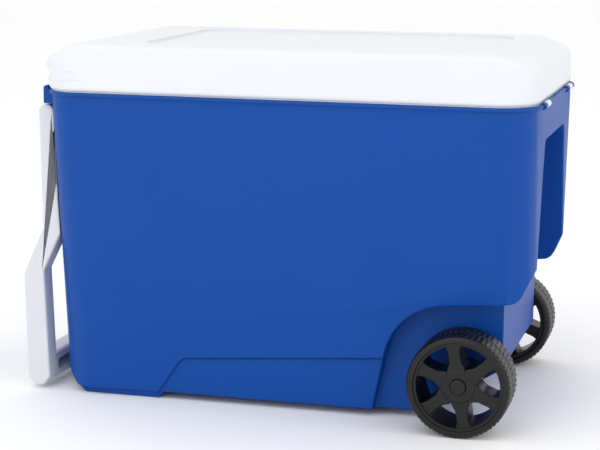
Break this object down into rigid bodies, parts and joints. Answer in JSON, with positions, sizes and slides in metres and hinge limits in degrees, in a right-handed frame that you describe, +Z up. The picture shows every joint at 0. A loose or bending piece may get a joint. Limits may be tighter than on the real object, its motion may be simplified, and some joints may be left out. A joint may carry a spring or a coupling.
{
  "type": "cooler on wheels",
  "caption": "Hard-sided insulated cooler with a hinged lid, a swing-up tow handle at one end and a pair of spoked wheels under the other.",
  "frame": {"origin": "on the floor, below the middle of the overall length and on the centre plane", "axes": "+X along the length towards the wheels, the tow handle at -X; +Y across, away from the side first seen; +Z up"},
  "size_m": [0.6381, 0.388, 0.4335],
  "materials": {
    "blue_shell": "moulded polypropylene, fine satin grain",
    "white_lid": "moulded polypropylene, satin",
    "white_liner": "moulded polypropylene, smooth",
    "foam": "rigid polyurethane foam",
    "handle_white": "moulded polypropylene, satin",
    "wheel_black": "moulded polyethylene, fine grain",
    "bush_nylon": "nylon, natural",
    "zinc_steel": "bright zinc plate"
  },
  "bodies": {
    "tub": {"tub_shell": "blue_shell", "tub_foam": "foam", "tub_liner": "white_liner", "axle": "zinc_steel", "hinge_pin_front": "zinc_steel", "hinge_pin_back": "zinc_steel", "handle_pin_front": "zinc_steel", "handle_pin_back": "zinc_steel", "washer_inner_front": "zinc_steel", "washer_inner_back": "zinc_steel", "washer_outer_front": "zinc_steel", "washer_outer_back": "zinc_steel", "push_nut_front": "zinc_steel", "push_nut_back": "zinc_steel"},
    "lid": {"lid_cover": "white_lid", "lid_liner": "white_liner", "lid_foam": "foam"},
    "handle": {"tow_handle": "handle_white"},
    "front_wheel": {"wheel_front": "wheel_black", "wheel_bush_front": "bush_nylon", "hub_cap_front": "wheel_black"},
    "back_wheel": {"wheel_back": "wheel_black", "wheel_bush_back": "bush_nylon", "hub_cap_back": "wheel_black"}
  },
  "joints": [
    {"name": "lid_hinge", "type": "hinge", "parent": "tub", "child": "lid", "pos_m": [0.3153, 0, 0.375], "axis": [0, 1, 0], "range_deg": [0, 105]},
    {"name": "tow_handle_swing", "type": "hinge", "parent": "tub", "child": "handle", "pos_m": [-0.285, 0, 0.3474], "axis": [0, 1, 0], "range_deg": [0, 115]},
    {"name": "front_wheel_spin", "type": "hinge", "parent": "tub", "child": "front_wheel", "pos_m": [0.237, -0.163, 0.06], "axis": [0, 1, 0], "continuous": true},
    {"name": "back_wheel_spin", "type": "hinge", "parent": "tub", "child": "back_wheel", "pos_m": [0.237, 0.163, 0.06], "axis": [0, 1, 0], "continuous": true}
  ]
}
